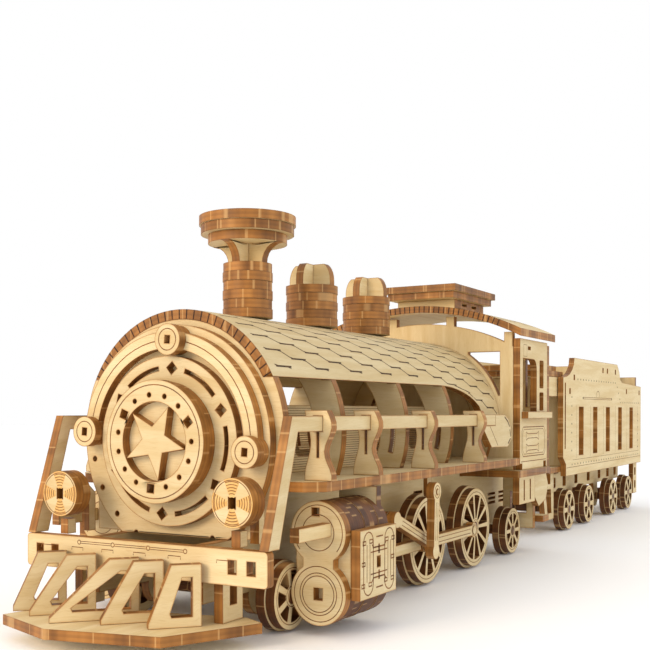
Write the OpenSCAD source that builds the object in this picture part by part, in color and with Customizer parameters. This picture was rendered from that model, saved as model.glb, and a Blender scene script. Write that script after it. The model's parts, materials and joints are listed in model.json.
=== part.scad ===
// Push-together plywood model of an American steam locomotive with its tender.
// Every piece is cut from one thickness of ply. The engine faces +X, its left side is +Y,
// the wheels stand on Z = 0 and the origin is under the middle of the whole train.
// Lengthwise places are stations: millimetres behind the front face of the buffer beam.

/* [Sheet] */
// Thickness of the plywood that every plate is cut from
ply = 2; // [1.9:0.05:2]
// Gap that keeps stacked plates separate pieces
seam = 0.05; // [0.03:0.01:0.08]
// Radial clearance of an axle or crank pin in its hole
running = 0.05; // [0.02:0.01:0.08]

/* [Train] */
// Station of the rearmost edge of the train
train_end = 333.5; // [333:0.5:336]
// Distance that the pilot reaches in front of the buffer beam
pilot_reach = 17.6; // [17.4:0.1:18]

/* [Pilot] */
// Angle, seen from above, between the pilot bars and the train's line
bar_skew = 43; // [40:1:45]
// Height of the top of the pilot base
pilot_z = 4.8; // [4.5:0.1:5]

/* [Boiler] */
// Height of the boiler's centre line
boiler_z = 40; // [39.8:0.1:40.2]
// Outer radius of the bent boiler sheet
boiler_r = 25.5; // [25.3:0.1:25.6]
// Height of the lower edge of the bent sheet
sheet_low = 51.4; // [51:0.1:52]
// Stations of the boiler formers
former_at = [12.8, 35.5, 67, 94.5];

/* [Smokebox front] */
// Height of the centre of the smokebox front
front_z = 38.6; // [38.4:0.1:38.8]
// Turn of the hoop, ring and door as they are pushed on
front_turn = -5; // [-8:1:0]
// Turn of the star
star_turn = 8; // [0:1:12]

/* [Wheels] */
// Radius of the flange of a driving wheel
driver_r = 11.7; // [11.5:0.1:11.7]
// Stations of the two driving axles
driver_at = [84.9, 117.5];
// Radius of the circle that the crank pins run on
crank_r = 6.8; // [6.4:0.1:6.8]
// Flange radius and station of the leading wheels
leading_r = 7.25; // [7.1:0.05:7.3]
leading_at = 21.6; // [21.4:0.1:21.8]
// Flange radius and station of the trailing wheels
trailing_r = 7.45; // [7.3:0.05:7.5]
trailing_at = 149.4; // [149:0.1:150]
// Flange radius of the tender wheels
tender_r = 7.85; // [7.7:0.05:7.9]
// Stations of the tender axles
tender_at = [220.7, 247.8, 286.4, 314.1];
// Radius of the dowel that the axles are cut from
axle_r = 1.5; // [1.4:0.05:1.5]

/* [Stacks] */
// Stations of the chimney and the two domes
chimney_at = 37.5; // [37:0.1:39]
dome_at = [65.8, 95.1];
// Radii of the chimney layers and the dome layers
chimney_r = 5.65; // [5.5:0.05:5.8]
dome_r = 6.5; // [6.4:0.05:6.6]

/* [Decks] */
// Half width and underside of the running board
board_y = 31.5; // [31.3:0.1:31.6]
board_z = 28.9; // [28.8:0.1:29]
// Underside of the cab floor
floor_z = 25.3; // [25.2:0.1:25.4]

/* [Cab] */
// Station of the cab's front wall
cab_front = 131.5; // [131.5:0.1:132]
// Inner face of a cab side
cab_y = 29.6; // [29.5:0.1:29.7]

/* [Tender] */
// Station of the front edge of the tender sides
tender_front = 206.3; // [206:0.1:206.5]
// Inner face of a tender side
tender_y = 20.1; // [20:0.1:20.2]
// Underside of the tender floor
tender_z = 22.4; // [22.4:0.1:22.5]
// Station of the drawbar pin
drawbar_at = 174; // [173:0.5:176]

/* [Hidden] */
$fn = 48;

wood = "#E4CB9C";
burnt = "#B97A3C";
datum_x = (train_end - pilot_reach) / 2;
fit = 0.05;
beam_low = 12.6;
beam_top = 19.3;
board_top = board_z + ply;
frame_y = 12;
wheel_face = 23.35;
rod_y = 23.65;
main_y = 25.9;
lever_y = 29.4;
cylinder_y = 28.4;
cylinder_z = [8.4, 20.6];
cylinder_s = 22.6;
cross_s = 57.6;
cross_z = 19.6;
lever_s = 72.2;
lever_z = 25.2;
rail_low = 40.7;
rail_top = 43.7;
stack_base = boiler_z + boiler_r + seam;
roof_r = 73;
roof_z = 74.4 - roof_r;

// ---------- placing helpers ----------
// Plate across the train, drawn as [y, z], front face at station s
module plate_x(s, t = ply)
    translate([datum_x - s - t, 0, 0]) rotate([90, 0, 90]) linear_extrude(t) children();
// Plate along the train, drawn as [station, z], inner face at y
module plate_y(y, t = ply)
    translate([datum_x, y + t, 0]) rotate([90, 0, 0]) linear_extrude(t) mirror([1, 0]) children();
// Level plate, drawn as [station, y], underside at z
module plate_z(z, t = ply)
    translate([datum_x, 0, z]) linear_extrude(t) mirror([1, 0]) children();
module both_sides() {
    children();
    mirror([0, 1, 0]) children();
}
module box2(x0, x1, y0, y1) translate([x0, y0]) square([x1 - x0, y1 - y0]);
module round_box2(x0, x1, y0, y1, r) {
    box2(x0 + r, x1 - r, y0, y1);
    box2(x0, x1, y0 + r, y1 - r);
    for (x = [x0 + r, x1 - r], y = [y0 + r, y1 - r]) translate([x, y]) circle(r, $fn = 24);
}
module wedge2(a0, a1, r)
    polygon([[0, 0], for (i = [0:4]) let (a = a0 + (a1 - a0) * i / 4) r * [cos(a), sin(a)]]);
module ring2(r_out, r_in) difference() { circle(r_out); circle(r_in); }
// Slot along an arc, from angle a0 to a1
module arc_slot2(r, w, a0, a1)
    intersection() {
        ring2(r + w / 2, r - w / 2);
        wedge2(a0, a1, r * 1.3);
    }
module square_at(p, size, turn = 0) translate(p) rotate(turn) square(size, center = true);

// ---------- pilot ----------
// The base is pushed on askew, so its left and right corners, as [reach, y], differ
base_corner = [[12, -24.2], [pilot_reach, -7.6], [12.2, 15.4], [-6.6, 24.4], [-9.4, 19], [1, -22]];
module pilot_base()
    color(wood) translate([datum_x, 0, pilot_z - ply]) linear_extrude(ply) polygon(base_corner);

// Lower front tips of the five bars, as [reach, y]
bar_tip = [[8.5, -25.2], [10.2, -18.9], [13.2, -10.6], [9.5, -1.2], [8.1, 9]];
module pilot_bars()
    color(wood)
    for (tip = bar_tip) {
        run = (tip[0] - 0.9) / cos(bar_skew);
        rise = 11.6;
        translate([datum_x + tip[0], tip[1], pilot_z + seam])
            rotate([90, 0, 180 - bar_skew]) translate([0, 0, -ply / 2]) linear_extrude(ply)
            difference() {
                polygon([[0, 0], [run, 0], [run, rise], [run - 5.6, rise], [0, 0.9]]);
                polygon([
                    [4.3, 1.9], [run - 1.7, 1.9], [run - 1.7, rise - 2.4], [run - 3.6, rise - 2.4], [4, 2.6]
                ]);
            }
    }
module pilot_brackets()
    color(wood) both_sides() plate_y(16.6) difference() {
        box2(ply + seam, 8.6, pilot_z + seam, beam_top - 1);
        box2(4.4, 6.6, 8, 13.4);
    }

module buffer_beam()
    color(wood) plate_x(0) difference() {
        round_box2(-30, 30, beam_low, beam_top, 0.8);
        for (y = [22.2, 26.4], side = [-1, 1]) square_at([side * y, 16], [1.9, 2.6]);
    }

// ---------- lamps ----------
lamp_y = 21.6;
lamp_z = 27.7;
lamp_r = 4.65;
lamp_s = 0.8;
lamp_layers = 2;
module lamp_brackets()
    color(wood) both_sides() {
        lamp_back = lamp_s + lamp_layers * (ply + seam);
        plate_y(lamp_y - ply / 2) difference() {
            polygon([
                [ply + seam, beam_top + seam], [10.2, beam_top + seam], [10.2, 27.4], [lamp_back + 1.8, 30.5],
                [lamp_back, 30.5], [lamp_back, lamp_z - lamp_r - 0.6], [ply + seam, lamp_z - lamp_r - 0.6]
            ]);
            box2(4.4, 8.2, beam_top, 25);
        }
    }
module lamps()
    color(burnt) both_sides()
    for (i = [0:lamp_layers - 1])
    plate_x(lamp_s + i * (ply + seam)) translate([lamp_y, lamp_z]) difference() {
        circle(lamp_r);
        square([1.7, 2.2], center = true);
    }

// ---------- handrails ----------
post_at = [19.5, 39.8, 69.1, 101.5];
rail_y = 28;
rail_end = 115.6;
module handrails()
    color(wood) both_sides() plate_y(rail_y) polygon([
        [0.2, beam_top + seam], [3.9, beam_top + seam], [10.4, rail_low], [rail_end, rail_low],
        [rail_end, rail_top], [8.3, rail_top]
    ]);

post_top = 44.8;
function post_out(z) = 31.3 + 0.85 * cos(360 * (z - board_top - 0.6) / 10.2);
function post_in(z) = 26.6 - 0.7 * cos(360 * (z - board_top - 0.6) / 14);
module post_outline() {
    low = board_top + seam;
    levels = [for (i = [0:12]) low + (post_top - low) * i / 12];
    difference() {
        polygon([
            for (z = levels) [post_out(z), z],
            for (i = [12:-1:0]) [post_in(levels[i]), levels[i]]
        ]);
        box2(rail_y - fit, rail_y + ply + fit, rail_low - fit, rail_top + fit);
        box2(28.7, 29.2, 35.5, rail_low);
    }
}
module handrail_posts()
    color(wood) both_sides() for (s = post_at) plate_x(s) post_outline();

// Bracket that carries the end of the rail in front of the cab
module handrail_brackets()
    color(wood) both_sides() plate_y(rail_y) polygon([
        [105.4, rail_low - seam], [112.7, 34.6], [125.6, 34.4], [129.2, 36.9], [128, 40.4], [126.2, 42.4],
        [123.2, rail_top],
        [rail_end + seam, rail_top], [rail_end + seam, rail_low - seam]
    ]);

// ---------- decks and frames ----------
board_front = 15.2;
floor_front = cab_front - 2.5;
module running_board() {
    nose = 3.4;
    color(wood) plate_z(board_z) polygon([
        [board_front, -board_y + nose], [board_front + nose, -board_y], [cab_front - seam, -board_y],
        [cab_front - seam, board_y], [board_front + nose, board_y], [board_front, board_y - nose]
    ]);
}
module cab_floor()
    color(wood) plate_z(floor_z) difference() {
        union() {
            box2(floor_front, 158.2, -32.4, 32.4);
            box2(158, 163, -27, 27);
        }
        for (s = [135, 153], side = [-1, 1]) square_at([s, side * 18], [3, 2]);
    }

frame_drop = 2.9;
frame_rear = 171;
module bearing_lobe(s, z) translate([s, z]) circle(axle_r + frame_drop);
module bearing_hole(s, z) translate([s, z]) circle(axle_r + running);
module frame_outline() {
    bearings = [
        [leading_at, leading_r], [driver_at[0], driver_r], [driver_at[1], driver_r], [trailing_at, trailing_r]
    ];
    difference() {
        union() {
            polygon([
                [ply + seam, 8], [ply + seam, beam_top], [board_front + 1.2, beam_top],
                [board_front + 1.2, board_z - seam], [floor_front - 0.5, board_z - seam],
                [floor_front - 0.5, floor_z - seam],
                [frame_rear, floor_z - seam], [frame_rear, 13], [163, 8], [132, 8], [128, 12], [70, 12], [60, 8]
            ]);
            for (b = bearings) bearing_lobe(b[0], b[1]);
        }
        for (b = bearings) bearing_hole(b[0], b[1]);
        for (s = [50, 58, 96, 104], i = [0:2]) box2(s, s + 5.6, 18.6 + 1.8 * i, 19.3 + 1.8 * i);
        for (s = [152.2, 161.6], i = [0:2]) box2(s, s + 6.3, 15 + 1.4 * i, 15.7 + 1.4 * i);
    }
}
module frame_sides() color(wood) both_sides() plate_y(frame_y) frame_outline();
module frame_spacers()
    color(wood) for (s = [4, 44, 101, 136, 160]) plate_x(s) difference() {
        box2(-frame_y, frame_y, 12.2, 18.2);
        round_box2(-8, 8, 13.8, 16.6, 1);
    }

// ---------- smokebox front ----------
door_s = 4.6;
module at_front() translate([0, front_z]) children();
module star() {
    tip = 7.8;
    inner = tip * 0.39;
    color(wood) plate_x(door_s) at_front() rotate(star_turn - 90)
        polygon([for (i = [0:9]) let (r = i % 2 == 0 ? tip : inner) r * [cos(36 * i), sin(36 * i)]]);
}
module door_disc() {
    hole_r = 9.35;
    color(wood) {
        plate_x(door_s) at_front() rotate(front_turn) difference() {
            circle(12.3);
            circle(7.95);
            for (i = [0:14]) rotate(30 + 24 * i) translate([hole_r, 0])
                if (i % 5 == 0) rotate(i == 10 ? 0 : 15) square(1.75, center = true);
                else circle(0.5, $fn = 16);
        }
        plate_x(door_s + ply + seam) at_front() circle(12);
    }
}
module door_ring() {
    slot_r = 14.75;
    color(wood) plate_x(door_s + 2 * (ply + seam)) at_front() rotate(front_turn) difference() {
        circle(17.2);
        for (i = [0:5]) {
            arc_slot2(slot_r, 0.9, 60 * i - 17, 60 * i + 17);
            rotate(60 * i + 30) translate([slot_r, 0]) rotate(i % 3 == 1 ? 45 : 20) square(1.9, center = true);
        }
    }
}
module hoop() {
    hoop_r = 20.4;
    half = 1.7;
    boss_r = 3.15;
    color(wood) {
        plate_x(door_s + 2 * (ply + seam)) at_front() rotate(front_turn) difference() {
            union() {
                difference() {
                    circle(hoop_r + half);
                    circle(hoop_r - half);
                    box2(-30, 30, -30, 0);
                }
                for (a = [0, 90, 180]) rotate(a) translate([hoop_r, 0]) circle(boss_r - 0.2);
            }
            circle(17.2 + 0.3);
        }
        plate_x(door_s + ply + seam) at_front() rotate(front_turn)
            for (a = [0, 90, 180]) rotate(a) translate([hoop_r, 0]) difference() {
                circle(boss_r);
                rotate(-a) square([1.3, 1.6], center = true);
            }
    }
}
module smokebox_plate()
    color(wood) plate_x(door_s + 3 * (ply + seam)) difference() {
        intersection() {
            at_front() circle(23.6);
            box2(-30, 30, beam_top + seam, 70);
        }
        at_front() for (a = [-169, -152, -134, -117, -63, -44, -25, -10]) rotate(a) translate([21.6, 0])
            circle(0.55, $fn = 16);
    }

// ---------- boiler ----------
// Ring that lies under the bent sheet above its lower edge and stands flush with it below
module former_disc(low) {
    sheet_in = boiler_r - ply;
    intersection() {
        translate([0, boiler_z]) union() {
            circle(sheet_in - seam);
            difference() {
                circle(boiler_r);
                box2(-30, 30, sheet_low - boiler_z - seam, 30);
            }
        }
        box2(-30, 30, low, 70);
    }
}
module boiler_formers()
    color(wood) {
        plate_x(former_at[0]) difference() {
            union() {
                former_disc(beam_top + seam);
                box2(-22, 22, beam_top + seam, boiler_z - 6);
            }
            translate([0, boiler_z]) circle(17.5);
        }
        for (i = [1:3]) plate_x(former_at[i]) difference() {
            former_disc(board_top + seam);
            translate([0, boiler_z]) circle(18.6);
            translate([0, boiler_z]) for (a = [-14, 180 - 6]) arc_slot2(22, 1.2, a, a + 20);
        }
        plate_x(cab_front - ply - seam) difference() {
            intersection() {
                translate([0, boiler_z]) circle(boiler_r - ply - seam);
                box2(-30, 30, board_top + seam, 70);
            }
            translate([0, boiler_z]) circle(17.5);
        }
    }

sweep_from = 94;
sweep_to = 119;
sweep_low = 42;
// Lower edge of the sheet, which sweeps down in front of the cab
function sheet_edge(s) =
    let (share = (s - sweep_from) / (sweep_to - sweep_from))
    sweep_low + (sheet_low - sweep_low) * sqrt(max(0, 1 - share * share));
module stack_cross2(clear) {
    square([4 + 2 * clear, ply + 2 * clear], center = true);
    square([ply + 2 * clear, 4 + 2 * clear], center = true);
}
stack_at = [chimney_at, dome_at[0], dome_at[1]];
module boiler_sheet() {
    front = former_at[0];
    color(wood) difference() {
        intersection() {
            plate_x(front, cab_front - seam - front) translate([0, boiler_z]) ring2(boiler_r, boiler_r - ply);
            plate_y(-30, 60) polygon([
                [front - 1, 70], [front - 1, sheet_low],
                for (i = [0:10]) let (s = sweep_from + (sweep_to - sweep_from) * i / 10) [s, sheet_edge(s)],
                [cab_front + 1, sweep_low], [cab_front + 1, 70]
            ]);
        }
        plate_z(boiler_z + boiler_r - 4, 8) for (s = stack_at) translate([s, 0]) stack_cross2(fit);
    }
}
module core_sides()
    color(wood) both_sides() plate_y(8.5) difference() {
        box2(15.5, cab_front - ply - 2 * seam, board_top + seam, 46);
        for (bay = [[20, 31], [41, 62.5], [73, 90], [100.5, 124]])
            round_box2(bay[0], bay[1], 34.5, 42.5, 1.6);
    }

// ---------- chimney and domes ----------
module layer_pile(s, z, r, count)
    for (i = [0:count - 1]) plate_z(z + i * (ply + seam)) translate([s, 0]) difference() {
        circle(r - (i % 2) * 0.15);
        stack_cross2(fit);
    }
chimney_layers = 6;
dome_layers = 5;
chimney_top = stack_base + chimney_layers * (ply + seam);
dome_top = stack_base + dome_layers * (ply + seam);
rim_z = 82.2;
module chimney_rings() color(burnt) layer_pile(chimney_at, stack_base, chimney_r, chimney_layers);
module chimney_rim()
    color(burnt) for (i = [0:2]) plate_z(rim_z + i * (ply + seam)) translate([chimney_at, 0]) difference() {
        circle([8.9, 10.5, 10.9][i]);
        if (i > 0) circle(3.2);
        else stack_cross2(fit);
    }
module dome_rings() color(burnt) for (s = dome_at) layer_pile(s, stack_base, dome_r, dome_layers);

// Half outline of a flared chimney fin and of a rounded dome fin, as [radius, height]
flare_h = rim_z - seam - chimney_top;
flare = [for (i = [0:6]) let (a = 15 * i) [8.9 - 4.3 * sin(a), rim_z - seam - flare_h * (1 - cos(a))]];
cap_h = 5.9;
shoulder = [for (i = [0:5]) let (a = 14 * i) [3.2 + 2.7 * cos(a), dome_top + 1.2 + 4.4 * sin(a)]];
module fin_pair(half_outline, low, base)
    for (m = [0, 1]) mirror([m, 0]) polygon(concat(
        [[0, low], [2, low], [2, base]], half_outline, [[0, half_outline[len(half_outline) - 1][1]]]
    ));
fin_foot = boiler_z + boiler_r - ply;
module chimney_fin2() {
    outline = [for (i = [6:-1:0]) flare[i]];
    fin_pair(outline, fin_foot, chimney_top);
    box2(-2, 2, rim_z - 1, rim_z + ply);
}
module dome_fin2() {
    outline = concat([[5.9, dome_top + seam]], shoulder);
    fin_pair(outline, fin_foot, dome_top + seam);
}
fin_mid = [(fin_foot + rim_z) / 2, (fin_foot + dome_top + cap_h) / 2];
module stack_fins_long()
    color(wood) for (i = [0:2]) plate_y(-ply / 2) translate([stack_at[i], 0]) difference() {
        if (i == 0) chimney_fin2();
        else dome_fin2();
        box2(-ply / 2 - fit, ply / 2 + fit, i == 0 ? fin_mid[0] : fin_mid[1], 95);
    }
module stack_fins_cross()
    color(wood) for (i = [0:2]) plate_x(stack_at[i] - ply / 2) difference() {
        if (i == 0) chimney_fin2();
        else dome_fin2();
        box2(-ply / 2 - fit, ply / 2 + fit, 50, (i == 0 ? fin_mid[0] : fin_mid[1]) + fit);
    }

// ---------- cylinders ----------
stack_count = 8;
module cylinder_outline(r, waist) {
    for (z = cylinder_z) translate([cylinder_y, z]) circle(r);
    box2(cylinder_y - waist, cylinder_y + waist, cylinder_z[0], cylinder_z[1]);
}
module piston_slot() box2(rod_y - fit, rod_y + ply + fit, cross_z - 1.2 - fit, cross_z + 1.2 + fit);
module cylinder_plates()
    color(burnt) both_sides() for (i = [0:stack_count - 1]) {
        r = 6.3 - 0.06 * (i % 3);
        plate_x(cylinder_s + i * (ply + seam)) difference() {
            union() {
                cylinder_outline(r, r);
                if (i == stack_count - 1) box2(24, 33, 20, board_z - seam);
            }
            piston_slot();
        }
    }
module cylinder_fronts()
    color(wood) both_sides() plate_x(cylinder_s - ply - seam) difference() {
        cylinder_outline(6.3, 3.5);
        square_at([cylinder_y, cylinder_z[0]], [2, 2.4]);
        square_at([cylinder_y - 0.6, cylinder_z[1] + 4.1], [1.7, 1.6]);
    }
module cylinder_panels()
    color(wood) both_sides() plate_y(cylinder_y + 6.4 + seam) difference() {
        box2(22.4, 38.3, 7.4, 21.2);
        square_at([30.4, 14.3], [1.6, 2.2]);
    }
module valve_rods()
    color(wood) both_sides() {
        plate_y(29.4) box2(8.4, cylinder_s - ply - 2 * seam, 20, 22.7);
        plate_y(rod_y) box2(cylinder_s + stack_count * (ply + seam), 75.4, 10.4, 13);
    }

// ---------- motion work ----------
eye_r = 1.9;
pin_r = 1.2;
module rod2(a, b, half, eye_a, eye_b) {
    d = b - a;
    turn = atan2(d[1], d[0]);
    translate(a) rotate(turn) translate([0, -half]) square([norm(d), 2 * half]);
    translate(a) circle(eye_a, $fn = 32);
    translate(b) circle(eye_b, $fn = 32);
}
crank_1 = [driver_at[0] - crank_r, driver_r];
crank_2 = [driver_at[1] - crank_r, driver_r];
module pistons()
    color(wood) both_sides() plate_y(rod_y) {
        box2(23.4, cross_s, cross_z - 1.2, cross_z + 1.2);
        translate([cross_s, cross_z]) circle(eye_r, $fn = 32);
    }
module main_rods()
    color(wood) both_sides() plate_y(main_y) difference() {
        rod2([cross_s, cross_z], crank_1, 1.3, eye_r, 2.1);
        translate(crank_1) circle(pin_r + running);
    }
module side_rods()
    color(wood) both_sides() plate_y(rod_y) difference() {
        rod2(crank_1, crank_2, 1.4, 2.1, 2.1);
        translate(crank_1) circle(pin_r + running);
        translate(crank_2) circle(pin_r + running);
    }
lever_pin_r = 0.7;
module link_levers()
    color(wood) both_sides() plate_y(lever_y) difference() {
        rod2([lever_s, lever_z], [lever_s - 0.6, 10.9], 1.45, 2.3, 1.9);
        translate([lever_s, lever_z]) circle(lever_pin_r + running, $fn = 24);
    }
module lever_hangers()
    color(wood) both_sides() {
        hanger_t = 1;
        plate_y(lever_y - hanger_t - seam, hanger_t) {
            box2(lever_s - 1.4, lever_s + 1.4, lever_z, board_z - seam);
            translate([lever_s, lever_z]) circle(1.4, $fn = 24);
        }
        plate_y(lever_y - seam - 0.3, ply + seam + 0.5) translate([lever_s, lever_z])
            circle(lever_pin_r, $fn = 24);
    }

// ---------- wheels ----------
// Spoked wheel plate: rim, tapered windows between the spokes, hole for the axle
module wheel2(r, rim, hub, spokes) {
    difference() {
        circle(r);
        for (i = [0:spokes - 1]) rotate(360 * (i + 0.5) / spokes) intersection() {
            ring2(r - rim, hub);
            polygon([[hub * 0.55, 0], [r, r * sin(160 / spokes) * 0.9], [r, -r * sin(160 / spokes) * 0.9]]);
        }
        circle(axle_r + 0.02);
    }
}
// One axle with a wheel of a tread plate and a flange plate at each end
module wheelset(s, flange, face, rim, hub, spokes, tread_drop) {
    color(burnt) both_sides() {
        plate_y(face - ply) translate([s, flange]) wheel2(flange - tread_drop, rim, hub, spokes);
        plate_y(face - 2 * ply - seam) translate([s, flange]) wheel2(flange, rim + tread_drop, hub, spokes);
    }
    color(wood) plate_y(-face, 2 * face) translate([s, flange]) circle(axle_r);
}
module crank_pin(at, reach)
    color(wood) both_sides() plate_y(wheel_face - ply, reach) translate(at) circle(pin_r);
module crank_hub(at)
    color(wood) both_sides() plate_y(wheel_face - ply) translate(at) circle(pin_r + 0.9, $fn = 32);
module leading_wheelset() wheelset(leading_at, leading_r, 21.7, 1.5, 2.4, 7, 0.5);
module driver_1_wheelset() {
    wheelset(driver_at[0], driver_r, wheel_face, 1.9, 2.6, 11, 0.7);
    crank_hub(crank_1);
    crank_pin(crank_1, ply + main_y + ply + 0.15 - wheel_face);
}
module driver_2_wheelset() {
    wheelset(driver_at[1], driver_r, wheel_face, 1.9, 2.6, 11, 0.7);
    crank_hub(crank_2);
    crank_pin(crank_2, ply + rod_y + ply + 0.15 - wheel_face);
}
module trailing_wheelset() wheelset(trailing_at, trailing_r, 23.2, 1.6, 2.4, 8, 0.5);
module tender_wheelset(i) wheelset(tender_at[i], tender_r, 20.2, 1.5, 2.5, 6, 0.55);
module tender_wheelset_1() tender_wheelset(0);
module tender_wheelset_2() tender_wheelset(1);
module tender_wheelset_3() tender_wheelset(2);
module tender_wheelset_4() tender_wheelset(3);

// ---------- cab ----------
floor_top = floor_z + ply;
wall_arch = 61;
wall_apex = 71.3;
module cab_front_wall()
    color(wood) plate_x(cab_front) difference() {
        union() {
            intersection() {
                translate([0, wall_apex - wall_arch]) circle(wall_arch, $fn = 96);
                box2(-cab_y + seam, cab_y - seam, floor_top + seam, 80);
            }
            for (y = [-28, -9.6, 9.6, 28]) let (roof_under = roof_z + sqrt(roof_r * roof_r - y * y))
                box2(y - 1.3, y + 1.3, 60, roof_under - 0.35 - abs(y) * 0.018);
        }
        for (m = [0, 1]) mirror([m, 0]) difference() {
            box2(15.4, 25.4, 49.3, 62.3);
            translate([0, boiler_z]) circle(26.6);
        }
    }
module cab_sides()
    color(wood) both_sides() plate_y(cab_y) difference() {
        box2(cab_front, 157.1, floor_top + seam, 66);
        difference() {
            box2(134, 146.8, 44.6, 60.3);
            difference() {
                box2(143.8, 147, 57.3, 61);
                translate([143.8, 57.3]) circle(3, $fn = 24);
            }
        }
        round_box2(149.6, 153.4, 51.8, 60.2, 0.5);
        round_box2(149.6, 153.4, 44.9, 50.4, 0.5);
        for (s = [cab_front - 0.3, 153.6]) box2(s, s + 2.4, floor_top, floor_top + 1.9);
        box2(138.6, 141, 63, 63.9);
    }
module cab_sills() color(wood) both_sides() plate_z(42.5) box2(133, 156.2, cab_y + ply + seam, cab_y + 2 * ply);
module cab_rear_posts()
    color(wood) {
        both_sides() plate_x(157.1 + seam) difference() {
            box2(22, cab_y + ply, floor_top + seam, 65.2);
            box2(24.6, 28, 46, 61);
            box2(25, 27.6, 33.5, 38.5);
        }
        both_sides() plate_y(25.3) difference() {
            union() {
                box2(159.2, 164, floor_top + 1.5, 50.5);
                translate([161.6, 50.5]) circle(2.4, $fn = 24);
            }
            for (z = [31, 36.4, 41.8]) box2(160.6, 162.4, z, z + 3.8);
        }
    }
// Bent roof: an arc across the cab
module cab_roof()
    color(wood) plate_x(126.5, 33) intersection() {
        translate([0, roof_z]) difference() {
            circle(roof_r + ply, $fn = 96);
            circle(roof_r, $fn = 96);
        }
        box2(-33.4, 33.4, 50, 90);
    }
module clerestory() {
    low = 76.45;
    top = 79;
    color(wood) {
        for (s = [135, 157]) plate_x(s) difference() {
            box2(-9.6, 9.6, 74.6, top - seam);
            translate([0, roof_z]) circle(roof_r + ply + seam, $fn = 96);
        }
        both_sides() plate_y(7.5) difference() {
            box2(137 + seam, 157 - seam, low, top - seam);
            for (s = [141, 149]) round_box2(s, s + 4, low + 0.8, top - 0.9, 0.3);
        }
        plate_z(top) box2(130.6, 162.4, -11, 11);
        plate_z(top + ply + seam) box2(129.5, 163.5, -12, 12);
    }
}
module cab_steps()
    color(wood) both_sides() {
        plate_y(cab_y - 1) difference() {
            box2(134, 148.4, 17, floor_z - seam);
            for (s = [138, 143.6]) box2(s, s + 0.9, 18, 24);
        }
        plate_x(157.6) difference() {
            box2(17, 27, 7.5, floor_z - seam);
            box2(19.4, 24.8, 12.2, 19);
        }
        plate_z(9.4) box2(159.6 + seam, 165.5, 17, 29.6);
        plate_y(18.5) polygon([[159.7, 5.5], [164, 7], [164, 9.3], [159.7, 9.3]]);
        plate_y(27.4) polygon([[152, 25.2], [163, 25.2], [165.5, 21], [163, 16.5], [156, 14.8], [152, 18]]);
    }
module drawbar() {
    bar_z = tender_z - ply - seam;
    color(wood) {
        plate_z(bar_z) {
            box2(140, drawbar_at, -5, 5);
            translate([drawbar_at, 0]) circle(5);
        }
        plate_x(150) box2(-5, 5, bar_z + ply, floor_z - seam);
        plate_z(bar_z, 2 * ply + seam + 0.5) translate([drawbar_at, 0]) circle(2);
    }
}

// ---------- tender ----------
tender_rear = 329.6;
module tender_outline() {
    curve = [for (i = [0:5]) let (a = 18 * i) [tender_front + 14 * sin(a), 64.6 - 7.6 * cos(a)]];
    polygon(concat([
        [tender_front + 3.6, 20.9], [tender_front + 3.6, 25.2], [tender_front, 27.8]],
        curve,
        [[285, 64.6], [288.6, 61.6], [290.4, 58.4], [293.4, 57.2], [tender_rear, 56], [tender_rear, 20.9]]));
}
window_w = 6.3;
window_at = [226.6, 246.7, 266.4, 287, 307.6];
module tender_sides()
    color(wood) both_sides() plate_y(tender_y) difference() {
        tender_outline();
        for (s = window_at) box2(s, s + window_w, 28, 46.3);
        box2(208.2, 209.4, 31, 55);
        for (p = [[220.2, 57.3], [214.7, 52.1], [261.5, 61.3], [268.5, 61.3], [281.9, 61.3],
                  [301.7, 53.4], [326.2, 53.2]]) square_at(p, [1.7, 1.9]);
    }
// Turned slats behind the five windows
module tender_slats()
    color(wood) both_sides() for (s = window_at)
        translate([datum_x - s - window_w / 2 - 0.6, tender_y - 2.2, 27]) rotate(20) difference() {
            translate([-3.1, -ply / 2, 0]) cube([6.2, ply, 20.3]);
            for (i = [0:4]) translate([0.3, -2, 2.6 + 3.8 * i]) rotate([-90, 0, 0])
                cylinder(4, 0.35, 0.35, $fn = 16);
        }
module tender_floor()
    color(wood) plate_z(tender_z) difference() {
        union() {
            box2(196, 331.5, -tender_y + seam, tender_y - seam);
            box2(drawbar_at, 197, -5, 5);
            translate([drawbar_at, 0]) circle(5);
            box2(331, train_end, -4.5, 4.5);
        }
        translate([drawbar_at, 0]) circle(2 + running);
        translate([train_end - 3.2, 0]) circle(1.5);
    }
module tender_walls() {
    low = tender_z + ply + seam;
    inner = tender_y - seam;
    color(wood) {
        plate_x(211) difference() {
            box2(-inner, inner, low, 57);
            round_box2(-7, 7, 30, 48, 1.5);
        }
        plate_x(tender_rear - ply - 0.6) difference() {
            box2(-inner, inner, low, 60.5);
            for (y = [-12, 0, 12]) round_box2(y - 3, y + 3, 33, 50, 1);
        }
        plate_x(284) difference() {
            box2(-inner, inner, 50, 64.4);
            for (y = [-9, 9]) round_box2(y - 2, y + 2, 58.6, 62.4, 0.6);
        }
    }
}
module tender_deck()
    color(wood) {
        plate_z(49.5 - ply) box2(213 + 2 * seam, 284 - seam, -tender_y + 4.6, tender_y - 4.6);
        plate_z(57.1) box2(193, 214, -19.6, 19.6);
        plate_z(57.1 + ply + seam) difference() {
            box2(191, 212, -17.6, 17.6);
            round_box2(197, 207, -6, 6, 1);
        }
        both_sides() plate_y(17.7) box2(197, 209.8, 50, 57);
    }
module tender_doors()
    color(wood) both_sides() plate_y(13) difference() {
        union() {
            box2(196.4, 206.8, 32.6, 54);
            box2(203, 205.6, tender_z + ply + seam, 33);
        }
        for (s = [198.2, 205], i = [0:6]) translate([s, 35 + 2.8 * i]) circle(0.3, $fn = 16);
    }
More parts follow.
